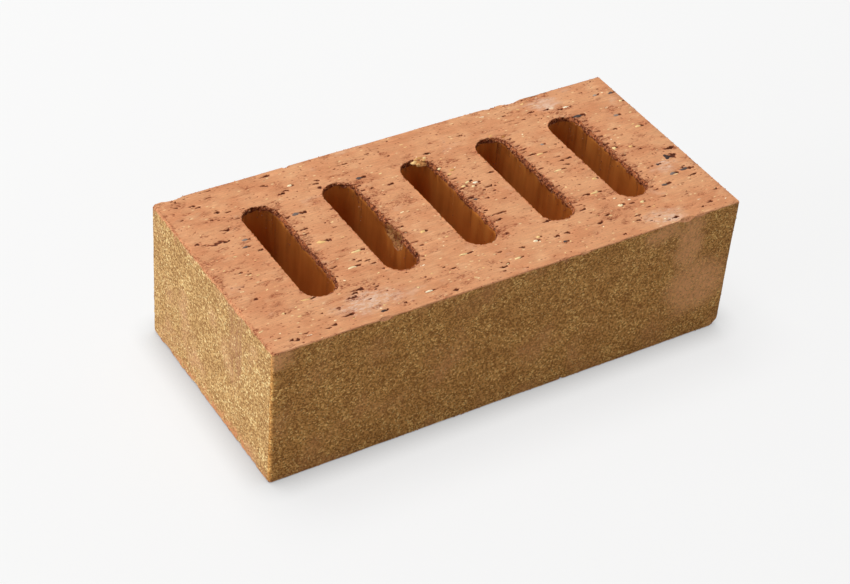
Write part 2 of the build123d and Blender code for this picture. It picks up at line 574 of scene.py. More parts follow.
def slot_scoops(z, down):
    """Scoops round the mouths of all slots in one cut face."""
    rows = []
    for middle in slot_middles:
        along = 0.0
        while along < 2 * HALF_OUTLINE:
            spot, away = slot_rim(middle, along)
            torn = max(0.0, away[0], 0.8 * away[1])
            spot += TEAR_OVER_BED * torn * rng.random() * Vector((1, 0))
            into = rng.uniform(0.3, 0.75) + 0.6 * torn * rng.random()
            sizes = (rng.uniform(0.4, 1.2), into, rng.uniform(0.4, 1.1) + torn * rng.random())
            rows.append(scoop(spot, away, z, down, *(size * MM for size in sizes)))
            along += (rng.uniform(0.8, 2.0) + 1.6 * (1 - torn) * rng.random()) * MM
    return rows


def edge_scoops(start, end, away, z, down, gap, reach):
    """Scoops along one straight edge of a cut face. away points into the clay."""
    rows = []
    start, end = Vector(start), Vector(end)
    along, whole = 0.0, (end - start).length
    while along < whole:
        spot = start.lerp(end, along / whole)
        sizes = (rng.uniform(0.6, 2.0), reach * rng.uniform(0.3, 1.3), reach * rng.uniform(0.3, 1.3))
        rows.append(scoop(spot, away, z, down, *(size * MM for size in sizes)))
        along += gap * rng.uniform(0.5, 1.5) * MM
    return rows


def face_scoops(z, down):
    """All scoops of one cut face: the slots, the torn left end and the three cleaner edges."""
    x, y = LENGTH / 2, WIDTH / 2
    torn_x = -x + TEAR_OVER_BED / 2
    rows = slot_scoops(z, down)
    rows += edge_scoops((torn_x, -y), (torn_x, y), (1, 0), z, down, 1.4, 0.9)
    rows += edge_scoops((x, -y), (x, y), (-1, 0), z, down, 2.4, 0.7)
    rows += edge_scoops((-x, -y), (x, -y), (0, 1), z, down, 2.2, 0.7)
    rows += edge_scoops((-x, y), (x, y), (0, -1), z, down, 2.2, 0.8)
    return rows


scoops = {face: np.array(face_scoops(z, -out)) for face, (z, out) in FACES.items()}
print("scoops:", {face: len(rows) for face, rows in scoops.items()})

# %% [markdown]
# Ripped skin. Beside the torn edges, and in patches elsewhere, the wire also ripped the
# smooth skin itself, in short shallow shreds that run its way.

# %% Ripped skin
RIP_LENGTH = 8 * MM


def ripped(points):
    """Where the cut skin is ripped, from 0 to 1: right of each slot, and in patches elsewhere."""
    level = ease(from_cut(points), 1.0 * MM, 0.5 * MM)
    beside = ease(points[:, 0] + LENGTH / 2, RIP_LENGTH / 2, 0.5 * MM)
    for middle in slot_middles:
        past = points[:, 0] - middle[0] - SLOT_END_RADIUS
        to_middle = np.abs(points[:, 1] - middle[1])
        within = ease(to_middle, SLOT_LENGTH / 2 + 1 * MM, SLOT_LENGTH / 2 - 2 * MM)
        beside = np.maximum(beside, within * ease(past, -1 * MM, 0) * ease(past, RIP_LENGTH, 0.5 * MM))
    chance = noise(points, (7, 2.6, 6), 15) + 0.5 * noise(points, (3, 1.2, 6), 16)
    chance += 0.35 * noise(points, 15, 29)
    return level * ease(chance + 0.9 * beside, 0.35, 0.9)


def in_hollow(points):
    """Where clay fell out of a slot's wall, under the torn rim, from 0 to 1."""
    gap, _ = from_slot(points)
    to_bed = from_cut(points)
    in_wall = ease(gap, 0.1 * MM, 0.3 * MM) * ease(gap, 3.2 * MM, 2.6 * MM)
    return in_wall * ease(to_bed, 1.3 * MM, 1.9 * MM) * ease(to_bed, 12 * MM, 10 * MM)


def broken_mouth(points, normals):
    """Where clay broke off at the torn rims of the slots and in their hollows, from 0 to 1. The finishes
    paint shade on the rims.
    """
    gap, away = from_slot(points)
    exit_side = np.maximum(ease(away[:, 0], -0.1, 0.4), ease(away[:, 1], 0.5, 0.9))
    ragged = 0.9 * MM * noise(points, 1.7, 27) + 0.7 * MM * noise(points, 6, 28)
    near_bed = ease(from_cut(points) + ragged, 2.7 * MM, 2.1 * MM)
    rim = exit_side * ease(gap, 3.2 * MM, 2.6 * MM) * near_bed
    return np.maximum(rim, in_hollow(points)) * ease(np.abs(normals[:, 2]), 0.97, 0.9)


# %% [markdown]
# The mesh that carries the relief. The plain solid from the frame has the right shape but
# only long thin faces. A remesh gives it even squares, and the places where something
# happens are split again, twice, so that small marks get small faces and flat clay doesn't.

# %% Even squares
REMESH_DEPTH = 8


def evaluated_copy(thing):
    """The object's mesh with its modifiers applied, as a new mesh."""
    return bpy.data.meshes.new_from_object(thing.evaluated_get(bpy.context.evaluated_depsgraph_get()))


def even_mesh():
    """The frame's brick, merged and remeshed."""
    mesh = frame["nodes"]["brick"].data.copy()
    builder = bmesh.new()
    builder.from_mesh(mesh)
    bmesh.ops.remove_doubles(builder, verts=builder.verts, dist=0.001 * MM)
    builder.to_mesh(mesh)
    builder.free()
    thing = add_object("even", mesh)
    remesh = thing.modifiers.new("remesh", "REMESH")
    remesh.mode = "SHARP"
    remesh.octree_depth = REMESH_DEPTH
    remesh.scale = 0.99
    made = evaluated_copy(thing)
    bpy.data.objects.remove(thing)
    return made


body_mesh = even_mesh()
print("even squares:", len(body_mesh.polygons))

# %% Finer squares near the marks
NEAR_MARKS = 2.2 * MM
CLOSE_TO_MARKS = 0.9 * MM
SKIN_BAND = 0.6 * MM
EDGE_BAND = 4 * MM


class ByX:
    """Points sorted along X, so that those near a mark are found without looking at all."""

    def __init__(self, points, chosen):
        self.order = chosen[np.argsort(points[chosen, 0])]
        self.x = points[self.order, 0]

    def near(self, x, reach):
        """The numbers of the points whose X is within reach of this one."""
        first, last = np.searchsorted(self.x, (x - reach, x + reach))
        return self.order[first:last]


def pit_frame(places, row):
    """Places along and across one pit, from -1 to 1 inside it."""
    along = (places[:, 0] - row[0]) / (row[2] / 2)
    across = (places[:, 1] - row[1]) / (row[3] / 2)
    return along, across


def marked(places, margin):
    """True where a place is within margin of a pit or a scoop."""
    near = np.zeros(len(places), bool)
    for face, (z, _) in FACES.items():
        level = ByX(places, np.flatnonzero(np.abs(places[:, 2] - z) < SKIN_BAND))
        for row in pits[face]:
            beside = level.near(row[0], row[2] / 2 + margin)
            near[beside[np.abs(places[beside, 1] - row[1]) < row[3] / 2 + margin]] = True
        edge = ByX(places, np.flatnonzero(np.abs(places[:, 2] - z) < EDGE_BAND))
        for row in scoops[face]:
            reach = max(row[12:15]) + margin
            beside = edge.near(row[0], reach)
            near[beside[np.linalg.norm(places[beside] - row[:3], axis=1) < reach]] = True
    return near


def split_marked_faces(mesh, margin):
    """Splits each square near a mark or in ripped skin into four."""
    builder = bmesh.new()
    builder.from_mesh(mesh)
    builder.faces.ensure_lookup_table()
    middles = np.array([face.calc_center_median() for face in builder.faces])
    normals = np.array([face.normal for face in builder.faces])
    near = marked(middles, margin) | (ripped(middles) > 0.25) | (broken_mouth(middles, normals) > 0.3)
    edges = {edge for face, wanted in zip(builder.faces, near) if wanted for edge in face.edges}
    bmesh.ops.subdivide_edges(builder, edges=list(edges), cuts=1, use_grid_fill=True)
    builder.to_mesh(mesh)
    builder.free()


for margin in (NEAR_MARKS, CLOSE_TO_MARKS):
    split_marked_faces(body_mesh, margin)
    print("after a split:", len(body_mesh.polygons))

# %% [markdown]
# Now the marks go in. The whole skin first sinks a little, because the sand, crumbs and
# flecks that are laid on it later have to stay inside the brick's real size. The cut faces
# get long shallow drag lines, the sides get soft waves, and the slots' walls get the fine
# upright lines that the die's cores leave.

# %% How far the skin sinks
SKIN_DEPTH = 0.32 * MM
LEAST_DEPTH = 0.1 * MM


def relief(points, normals):
    """How far each point sinks along its normal, before pits and scoops."""
    level = ease(np.abs(normals[:, 2]), 0.5, 0.9)
    gap, _ = from_slot(points)
    wall = (1 - level) * ease(gap, 1.2 * MM, 0.6 * MM)
    side = (1 - level) * (1 - wall)
    drag = 0.05 * noise(points, (9, 0.8, 5), 1) + 0.05 * noise(points, (16, 2.4, 5), 2)
    soft = 0.07 * noise(points, 9, 3) + 0.1 * noise(points, 34, 4)
    cored = 0.05 * noise(points, (1.5, 1.5, 40), 5) + 0.1 * noise(points, 12, 6)
    sanded = 0.05 * noise(points, 2.2, 7)
    torn_grain = noise(points, (1.7, 0.5, 1), 17) + 0.6 * noise(points, 0.45, 18)
    rips = 0.3 * ripped(points) * (0.4 + torn_grain)
    crumbled = noise(points, 1.1, 25) + 0.7 * noise(points, 0.5, 26)
    broken = 0.3 * broken_mouth(points, normals) * crumbled
    sink = level * (SKIN_DEPTH + (drag + soft + rips) * MM)
    sink += side * (SKIN_DEPTH + (sanded + soft) * MM) + wall * cored * MM
    return np.where(wall > 0.5, sink, np.maximum(sink, LEAST_DEPTH)) + broken * MM


# %% Pits pushed in and scoops pushed out


def sink_pits(points, before, normals):
    """Pushes the pits into the cut faces. Returns how deep in a pit each point is, from 0 to 1, for
    painted shade.
    """
    shade = np.zeros(len(points))
    ragged = 0.5 * noise(before, 0.7, 8) + 0.5 * noise(before, 1.8, 14)
    for face, (z, out) in FACES.items():
        flat = (np.abs(before[:, 2] - z) < SKIN_BAND) & (normals[:, 2] * out > 0.7)
        level = ByX(before, np.flatnonzero(flat))
        sink = np.zeros(len(before))
        for row in pits[face]:
            chosen = level.near(row[0], 0.65 * row[2])
            along, across = pit_frame(before[chosen], row)
            narrow = 0.3 + 0.7 * ease(along, -0.9, 0.7)
            width = 1 - ease(np.abs(across + ragged[chosen]) / narrow, 0.3, 1.0)
            ramp = ease(along, -1.0, 0.5) * ease(along + 0.3 * ragged[chosen], 1.05, 0.8)
            sink[chosen] = np.maximum(sink[chosen], row[4] * width * ramp)
        points[:, 2] -= out * sink
        shade = np.maximum(shade, ease(sink, 0.05 * MM, 0.42 * MM))
    return shade


def take_scoops(points):
    """Pushes the points inside each scoop out to its skin. Returns how torn each point is."""
    torn = np.zeros(len(points))
    rough = 1 + 0.28 * noise(points, 0.9, 9) + 0.15 * noise(points, 0.4, 10)
    for face, (z, _) in FACES.items():
        edge = ByX(points, np.flatnonzero(np.abs(points[:, 2] - z) < EDGE_BAND))
        for row in scoops[face]:
            box = edge.near(row[0], 2.2 * max(row[12:15]))
            offset = points[box] - row[:3]
            inside = np.stack([offset @ row[i:i + 3] for i in (3, 6, 9)], axis=1) / row[12:15]
            reach = np.linalg.norm(inside, axis=1) / rough[box]
            moved = reach < 1
            stretch = 1 / np.maximum(reach[moved], 0.12)
            points[box[moved]] = row[:3] + offset[moved] * stretch[:, None]
            torn[box] = np.maximum(torn[box], ease(reach, 1.45, 1.0))
    return torn


def sloped(points, normals):
    """Where the solid's own tears and chips are, told by their tilt, from 0 to 1."""
    tilt = np.abs(normals[:, 2])
    edge = ease(from_cut(points), 4 * MM, 3 * MM)
    return ease(tilt, 0.1, 0.3) * ease(tilt, 0.97, 0.85) * edge


# %% The relief goes in
CLEARANCE = 0.02 * MM
LOWEST = np.array(brick_low) + CLEARANCE
HIGHEST = np.array(brick_high) - CLEARANCE


def read_array(items, name, width=1):
    """One property of a mesh's items as an array, with a row for each."""
    found = np.empty(len(items) * width, np.float32)
    items.foreach_get(name, found)
    return found.reshape(-1, width).astype(np.float64)


def coordinates(mesh):
    """A mesh's vertices as an array."""
    return read_array(mesh.vertices, "co", 3)


def vertex_normals(mesh):
    """A mesh's vertex normals as an array."""
    return read_array(mesh.vertex_normals, "vector", 3)


def move_vertices(mesh, points):
    """Moves a mesh's vertices to these points."""
    mesh.vertices.foreach_set("co", points.astype(np.float32).ravel())
    mesh.update()


def write_masks(mesh, **masks):
    """Keeps numbers, one a vertex, on the mesh, for the materials and the scattering."""
    for name, values in masks.items():
        mask = mesh.attributes.new(name, "FLOAT", "POINT")
        mask.data.foreach_set("value", values.astype(np.float32))


def add_relief(mesh):
    """Moves the vertices and keeps the masks. No point leaves the brick's real size."""
    before = coordinates(mesh)
    normals = vertex_normals(mesh)
    after = before - normals * relief(before, normals)[:, None]
    pitted = sink_pits(after, before, normals)
    torn = np.maximum(take_scoops(after), sloped(before, normals))
    move_vertices(mesh, np.clip(after, LOWEST, HIGHEST))
    mouth = broken_mouth(before, normals)
    hollow = in_hollow(before)
    write_masks(mesh, pitted=pitted, ripped=ripped(before), mouth=mouth, hollow=hollow, torn=torn)
    print("torn points:", int((torn > 0.5).sum()), "pitted points:", int((pitted > 0.5).sum()))


add_relief(body_mesh)

# %% [markdown]
# The squares did their work, and most of them now lie on nearly flat clay. A collapse
# removes those and keeps the ones that hold a shape, down to a size that other programs
# can open. It may push a point out a little, so the mesh is cut off at the real size again.

# %% Thin the mesh where it is flat
MOST_TRIANGLES = 190_000


def thin(mesh, most):
    """The mesh collapsed to at most this many triangles."""
    thing = add_object("thin", mesh)
    triangles = sum(len(face.vertices) - 2 for face in mesh.polygons)
    collapse = thing.modifiers.new("collapse", "DECIMATE")
    collapse.ratio = min(1.0, most / triangles)
    made = evaluated_copy(thing)
    bpy.data.objects.remove(thing)
    move_vertices(made, np.clip(coordinates(made), LOWEST, HIGHEST))
    print("triangles:", triangles, "thinned to", len(made.polygons))
    return made


body_mesh = thin(body_mesh, MOST_TRIANGLES)

# %% [markdown]
# Wear. Handling rubbed the sand off in a patch at the right of the front side and at one
# corner, something scraped down the left end, the lower edge there lost its sand, and pale
# dust was smeared on the cut face in a few places.

# %% Worn and dusty patches
# Middle and half size in millimetres: along the side from its left, or the cut face from its
# left and back, and up from the floor
RUBBED_FRONT = [
    (199.0, 27.0, 15.0, 13.0),
    (192.0, 52.0, 7.0, 15.0),
    (4.0, 61.0, 6.0, 5.0),
    (176.0, 60.0, 9.0, 4.0),
]
SCRAPED_LEFT = [(29.0, 47.0, 5.5, 19.0), (29.0, 62.0, 8.0, 4.5)]
BARE_LEFT = [(38.0, 0.0, 24.0, 5.0), (70.0, 0.0, 14.0, 4.0)]
SMEARED_TOP = [
    (47.0, 91.0, 13.0, 5.5),
    (180.0, 7.0, 6.0, 4.0),
    (182.0, 96.5, 9.0, 4.0),
    (33.0, 73.0, 4.0, 9.0),
    (201.0, 68.0, 4.0, 5.0),
]


def write_wear_masks(mesh):
    """Works out the rubbed, scraped, bare and smeared places, and keeps them on the mesh."""
    points, normals = coordinates(mesh), vertex_normals(mesh)
    right, back, up = (points - [-LENGTH / 2, -WIDTH / 2, 0]).T
    rough = 2.0 * MM * noise(points, 5, 81) + 1.0 * MM * noise(points, 1.6, 82)
    at_front = ease(normals[:, 1], -0.4, -0.7)
    at_left = ease(normals[:, 0], -0.4, -0.7)
    on_top = ease(normals[:, 2], 0.5, 0.8)
    write_masks(
        mesh,
        rubbed=at_front * in_patches(right + rough, up + rough, RUBBED_FRONT),
        scraped=at_left * in_patches(back + 0.5 * rough, up, SCRAPED_LEFT),
        bare=at_left * in_patches(back, up + rough, BARE_LEFT),
        smeared=on_top * in_patches(right + rough, WIDTH - back + rough, SMEARED_TOP),
    )


write_wear_masks(body_mesh)

# %% [markdown]
# Three finishes share the body: cut clay, sanded side and slot wall. Each face gets the one
# that its place and tilt call for.

# %% Which finish each face wears
CUT, SANDED, CORED = range(3)
UPRIGHT = 0.58
SANDED_DEPTH = 0.75 * MM
CORED_DEPTH = 0.35 * MM
SHARP_ANGLE = math.radians(55)


def share_out_finishes(mesh):
    """Writes the material number of each face. What is torn shows clay on every side."""
    middles = read_array(mesh.polygons, "center", 3)
    normals = read_array(mesh.polygons, "normal", 3)
    gap, _ = from_slot(middles)
    upright = np.abs(normals[:, 2]) < UPRIGHT
    sanded = upright & (from_side(middles) < SANDED_DEPTH)
    cored = upright & (np.abs(gap) < CORED_DEPTH)
    choice = np.where(cored, CORED, np.where(sanded, SANDED, CUT))
    mesh.polygons.foreach_set("material_index", choice.astype(np.int32))
    mesh.polygons.foreach_set("use_smooth", np.ones(len(choice), bool))
    print("faces by finish:", np.bincount(choice, minlength=3).tolist())


body_mesh.materials.clear()
share_out_finishes(body_mesh)
body_mesh.set_sharp_from_angle(angle=SHARP_ANGLE)

# %% [markdown]
# A finish is a node tree too. Its own short calls make noise, specks and masks in
# millimetres of the brick, blend colours, and wire the result to the shader.

# %% Short calls for finishes


class Finish(Material):
    """A material with a shader for clay, which reads the piece's own coordinates."""

    def __init__(self, name, roughness=0.9, shine=0.25):
        super().__init__(name)
        gloss = {"Roughness": roughness, "Specular IOR Level": shine}
        self.shader = self.add("ShaderNodeBsdfPrincipled", gloss)
        self.surface(self.shader.outputs[0])
        self.place = self.add("ShaderNodeTexCoord").outputs["Object"]

    def spot(self, size, shift):
        """The piece's coordinates, scaled so that size, three numbers in millimetres, is 1."""
        scale = [1 / (each * MM) for each in size]
        return self.output("ShaderNodeMapping", {"Vector": self.place, "Scale": scale, "Location": shift})

    def noise(self, size, detail, rough, seed):
        """Noise from 0 to 1, with lumps of this size in millimetres along X, Y and Z."""
        spot = self.spot(size, (seed * 7.31, seed * 3.17, seed * 5.71))
        inputs = {"Vector": spot, "Scale": 1.0, "Detail": detail, "Roughness": rough}
        return self.output("ShaderNodeTexNoise", inputs)

    def specks(self, size, seed, kept):
        """Separate specks, one in some cells of a stretched grid. kept is the share of cells."""
        spot = self.spot(size, (seed, seed * 2.3, seed * 1.7))
        cells = self.add("ShaderNodeTexVoronoi", {"Vector": spot, "Scale": 1.0, "Randomness": 1.0})
        chance = self.output("ShaderNodeSeparateColor", {0: cells.outputs["Color"]})
        chosen = self.ramp(chance, 1 - kept, 1 - kept + 0.02)
        return self.times(chosen, self.ramp(cells.outputs["Distance"], 0.42, 0.22))

    def blend(self, share, first, second, mode="MIX"):
        """Two colours mixed, or else multiplied."""
        inputs = {0: share, 6: first, 7: second}
        return self.add("ShaderNodeMix", inputs, data_type="RGBA", blend_type=mode).outputs[2]

    def mask(self, name):
        """One of the masks kept on the mesh."""
        return self.add("ShaderNodeAttribute", attribute_name=name).outputs["Fac"]

    def cover(self, tint, other, mask, share):
        """A colour with another laid over it, by a share, where a mask allows."""
        return self.blend(self.times(self.mask(mask), share), tint, other)

    def paint(self, tint):
        """Wires the colour in."""
        self.tree.links.new(tint, self.shader.inputs["Base Color"])

    def bump(self, height, distance, strength):
        """Wires a height in as bump. distance is in metres."""
        inputs = {"Height": height, "Distance": distance, "Strength": strength}
        self.tree.links.new(self.output("ShaderNodeBump", inputs), self.shader.inputs["Normal"])


# %% [markdown]
# Cut clay. Under the tears it is a smooth salmon skin with cloudy warm and pale patches,
# fine lines along the wire's way, and flecks of cream grog too small to model.

# %% Smooth clay
CLAY = colour(220, 159, 114)
CLAY_WARM = colour(208, 140, 97)
CLAY_PALE = colour(230, 176, 131)
CLAY_RIPPED = colour(154, 82, 52)
CREAM = colour(246, 222, 168)


def clay_colour(finish):
    """The smooth clay: clouds, drag lines and small flecks."""
    clouds = finish.ramp(finish.noise((17, 12, 12), 3, 0.55, 1), 0.32, 0.68)
    tint = finish.blend(clouds, CLAY_WARM, CLAY)
    pale = finish.ramp(finish.noise((9, 5, 5), 4, 0.6, 2), 0.52, 0.74, 0.0, 0.6)
    tint = finish.blend(pale, tint, CLAY_PALE)
    lines = finish.ramp(finish.noise((7, 0.45, 0.45), 3, 0.6, 3), 0.3, 0.7, 0.9, 1.07)
    grain = finish.ramp(finish.noise((0.6, 0.45, 0.45), 3, 0.7, 4), 0.2, 0.8, 0.91, 1.08)
    both = finish.times(lines, grain)
    bright = finish.output("ShaderNodeCombineColor", {0: both, 1: both, 2: both})
    tint = finish.blend(1.0, tint, bright, "MULTIPLY")
    flecks = finish.specks((2.0, 0.9, 0.9), 3.1, 0.06)
    tint = finish.blend(finish.times(flecks, 0.6), tint, CREAM)
    rust = finish.specks((1.7, 0.7, 0.7), 9.4, 0.16)
    return finish.blend(finish.times(rust, 0.8), tint, CLAY_RIPPED)


# %% [markdown]
# Torn clay. All three finishes show it in the same way: a crumbly mix of light and dark
# where an edge broke, rusty shreds where the skin was ripped, painted shade and broken clay
# under the torn rims of the slots, and pits darkened by painted shade over a darker clay.

# %% Torn, ripped and pitted clay
CLAY_TORN = colour(184, 116, 78)
# Painted shade for the bottoms of pits, over a darker clay.
PIT_SHADE = colour(84, 36, 20)
# Painted shade under the torn rims of the slots, mixed with broken clay.
MOUTH_SHADE = colour(96, 46, 26)
MOUTH_MIDDLE = colour(176, 104, 62)
MOUTH_LIGHT = colour(222, 168, 104)


def torn_and_pitted(finish, tint):
    """Darkens pits with painted shade over a darker clay, paints shade under the slots' torn rims, and
    roughens the colour where clay was torn.
    """
    crumble = finish.noise((0.8, 0.8, 0.8), 3, 0.7, 6)
    crumbs = finish.blend(finish.ramp(crumble, 0.35, 0.65), CLAY_TORN, CLAY)
    tint = finish.cover(tint, crumbs, "torn", finish.ramp(crumble, 0.25, 0.75, 0.35, 1.0))
    shreds = finish.ramp(finish.noise((1.5, 0.5, 0.5), 3, 0.65, 7), 0.45, 0.61, 0.0, 0.85)
    tint = finish.cover(tint, CLAY_RIPPED, "ripped", shreds)
    bits = finish.noise((1.3, 1.3, 1.3), 3, 0.65, 9)
    # Under the torn rims: painted shade mixed with broken clay. In the hollows: lighter fallen clay.
    broken = finish.blend(finish.ramp(bits, 0.44, 0.6), MOUTH_SHADE, MOUTH_MIDDLE)
    fallen = finish.blend(finish.ramp(bits, 0.35, 0.6), MOUTH_MIDDLE, MOUTH_LIGHT)
    broken = finish.blend(finish.mask("hollow"), broken, fallen)
    tint = finish.blend(finish.mask("mouth"), tint, broken)
    # Pits: painted shade over a darker clay, strongest where a pit is deepest.
    pitted = finish.mask("pitted")
    pit = finish.blend(finish.ramp(pitted, 0.35, 0.9), CLAY_RIPPED, PIT_SHADE)
    return finish.blend(finish.ramp(pitted, 0.05, 0.45, 0.0, 0.95), tint, pit)


# %% Material: cut clay
WHITISH = colour(228, 196, 172)


def cut_clay():
    """The finish of both cut faces."""
    finish = Finish("cut_clay")
    dust = finish.ramp(finish.noise((2.4, 1.2, 1.2), 4, 0.7, 8), 0.38, 0.66, 0.1, 0.85)
    tint = finish.cover(clay_colour(finish), WHITISH, "smeared", dust)
    bloom = finish.ramp(finish.noise((24, 15, 15), 5, 0.62, 8), 0.6, 0.74, 0.0, 0.35)
    tint = finish.blend(bloom, tint, WHITISH)
    finish.paint(torn_and_pitted(finish, tint))
    fine = finish.noise((0.5, 0.35, 0.35), 4, 0.7, 11)
    lines = finish.noise((6, 0.4, 0.4), 3, 0.6, 12)
    finish.bump(finish.plus(fine, lines), 0.2 * MM, 0.9)
    return finish.made


# %% [markdown]
# Sanded side. Sand was pressed into the wet column, so the clay shows only between grains.
# Voronoi cells give each grain its own shade and a rounded top, and the larger grains are
# real ones, laid on afterwards.

# %% Material: sanded side
SAND_DARK = colour(150, 108, 62)
SAND = colour(208, 166, 108)
SAND_PALE = colour(242, 216, 156)
SAND_PINK = colour(206, 154, 116)
RUBBED = colour(238, 188, 150)
SCRAPED = colour(164, 112, 84)
# Painted shade: the sand on the long front side is tinted darker and more saturated, in place of the
# weaker light there.
FRONT_SHADE_TINT = (1.15, 0.94, 0.67, 1.0)
GRAIN_SIZE = 0.62 * MM


def sanded_side():
    """The finish of the four upright sides."""
    finish = Finish("sanded_side")
    cells = {"Vector": finish.place, "Scale": 1 / GRAIN_SIZE, "Randomness": 1.0}
    grains = finish.add("ShaderNodeTexVoronoi", cells)
    chance = finish.output("ShaderNodeSeparateColor", {0: grains.outputs["Color"]})
    patches = finish.ramp(finish.noise((14, 14, 10), 3, 0.5, 21), 0.3, 0.7, -0.08, 0.08)
    tone = finish.plus(chance, patches)
    tint = finish.blend(finish.ramp(tone, 0.1, 0.75), SAND_DARK, SAND)
    tint = finish.blend(finish.ramp(tone, 0.86, 0.98), tint, SAND_PALE)
    pink = finish.ramp(finish.noise((20, 20, 20), 3, 0.5, 22), 0.5, 0.75, 0.0, 0.5)
    tint = finish.blend(pink, tint, SAND_PINK)
    rubbed = finish.ramp(finish.noise((1.2, 1.2, 1.2), 4, 0.7, 24), 0.3, 0.6, 0.3, 0.8)
    tint = finish.cover(tint, RUBBED, "rubbed", rubbed)
    # Painted shade on the long front side: its sand is multiplied by the front tint.
    forward = finish.add("ShaderNodeSeparateXYZ", {0: finish.place}).outputs["Y"]
    at_front = finish.ramp(forward, -WIDTH / 2 + 2 * MM, -WIDTH / 2 + 1 * MM)
    tint = finish.blend(at_front, tint, FRONT_SHADE_TINT, "MULTIPLY")
    streaks = finish.ramp(finish.noise((1, 0.8, 22), 3, 0.6, 25), 0.46, 0.6, 0.05, 0.75)
    tint = finish.cover(tint, SCRAPED, "scraped", streaks)
    shed = finish.ramp(finish.noise((3, 3, 2), 4, 0.7, 26), 0.4, 0.56, 0.0, 0.9)
    tint = finish.cover(tint, CLAY_WARM, "bare", shed)
    finish.paint(torn_and_pitted(finish, tint))
    rough = finish.noise((1.4, 1.4, 1.4), 3, 0.6, 23)
    round_tops = finish.times(grains.outputs["Distance"], -0.6)
    finish.bump(finish.plus(round_tops, rough), 0.22 * MM, 0.8)
    return finish.made


# %% [markdown]
# Slot wall. Steel cores pressed these walls smooth, so they have no sand and no tears, only
# a deeper orange and faint upright lines.

# %% Material: slot wall
WALL = colour(226, 144, 66)
WALL_DEEP = colour(200, 120, 50)


def slot_wall():
    """The finish inside the slots."""
    finish = Finish("slot_wall", shine=0.1)
    lines = finish.ramp(finish.noise((4, 4, 40), 3, 0.5, 31), 0.2, 0.8)
    tint = finish.blend(lines, WALL_DEEP, WALL)
    cloud = finish.ramp(finish.noise((9, 9, 9), 3, 0.6, 32), 0.3, 0.7, 0.0, 0.5)
    tint = finish.blend(cloud, tint, WALL)
    finish.paint(torn_and_pitted(finish, tint))
    finish.bump(finish.noise((0.6, 0.6, 6), 4, 0.7, 33), 0.15 * MM, 0.6)
    return finish.made


for material in (cut_clay(), sanded_side(), slot_wall()):
    body_mesh.materials.append(material)
print("finishes:", [material.name for material in body_mesh.materials])

# %% The body
ROOT = "root"


def add_piece(name, mesh):
    """Puts a finished mesh in the scene as a piece that rides on the brick."""
    piece = add_object(name, mesh)
    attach(piece, ROOT)
    return piece


body = add_piece("brick_body", body_mesh)
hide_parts("brick")
print("body:", len(body_mesh.vertices), "vertices")

# %% [markdown]
# Grains, crumbs, flecks and stones are all small lumps that lie half sunk in a skin. One
# node tree makes the grains, crumbs and flecks: it scatters points where a mask on the mesh
# allows, puts a ball of few faces on each, turns and stretches it by chance, dents it with
# noise, and keeps one random number a lump, which its material reads as a tone.

# %% Node tree: balls scattered over a skin

LUMP_SETTINGS = {
    "Skin": "Geometry",
    "Mask": "String",
    "Density": "Float",
    "Least size": "Vector",
    "Most size": "Vector",
    "Turn": "Float",
    "Sunk": "Float",
    "Dents": "Float",
    "Smoothness": "Int",
    "Seed": "Int",
    "Finish": "Material",
}
HALF_TURN = (math.pi, math.pi, math.pi)


def put_balls(nodes, given):
    """Scatters balls over the skin, half sunk in it, each with its own size, turn and tone."""

    def chance(least, most, seed):
        limits = {"Min": least, "Max": most, "Seed": seed}
        return nodes.output("FunctionNodeRandomValue", limits, data_type="FLOAT_VECTOR")

    kept = {"Name": given["Mask"]}
    mask = nodes.add("GeometryNodeInputNamedAttribute", kept, data_type="FLOAT").outputs["Attribute"]
    density = nodes.times(given["Density"], mask)
    skin = {"Mesh": given["Skin"], "Density": density, "Seed": given["Seed"]}
    spots = nodes.add("GeometryNodeDistributePointsOnFaces", skin, distribute_method="RANDOM").outputs
    size = chance(given["Least size"], given["Most size"], given["Seed"])
    turn = chance([-angle for angle in HALF_TURN], HALF_TURN, nodes.plus(given["Seed"], 1.0))
    height = nodes.add("ShaderNodeSeparateXYZ", {0: size}).outputs["Z"]
    sink = nodes.times(nodes.times(height, given["Sunk"]), -1.0)
    held = nodes.add("GeometryNodeCaptureAttribute", {"Geometry": spots["Points"]}, domain="POINT")
    for kind, name, value in (("VECTOR", "Normal", spots["Normal"]), ("FLOAT", "Sink", sink)):
        held.capture_items.new(kind, name)
        nodes.tree.links.new(value, held.inputs[name])
    ball = {"Radius": 1.0, "Subdivisions": given["Smoothness"]}
    placed = {
        "Points": held.outputs["Geometry"],
        "Instance": nodes.output("GeometryNodeMeshIcoSphere", ball),
        "Rotation": nodes.scaled(turn, given["Turn"]),
        "Scale": size,
    }
    balls = nodes.output("GeometryNodeInstanceOnPoints", placed)
    drop = nodes.scaled(held.outputs["Normal"], held.outputs["Sink"])
    dropped = {"Instances": balls, "Translation": drop, "Local Space": False}
    sunk = nodes.output("GeometryNodeTranslateInstances", dropped)
    seed = {"Seed": nodes.plus(given["Seed"], 2.0)}
    tone = nodes.add("FunctionNodeRandomValue", seed, data_type="FLOAT").outputs[1]
    toned = nodes.output(
        "GeometryNodeStoreNamedAttribute",
        {"Geometry": sunk, "Name": "tone", "Value": tone},
        data_type="FLOAT",
        domain="INSTANCE",
    )
    return nodes.output("GeometryNodeRealizeInstances", {"Geometry": toned})


# %% Node tree: dented lumps
DENT_SIZE = 0.9 * MM


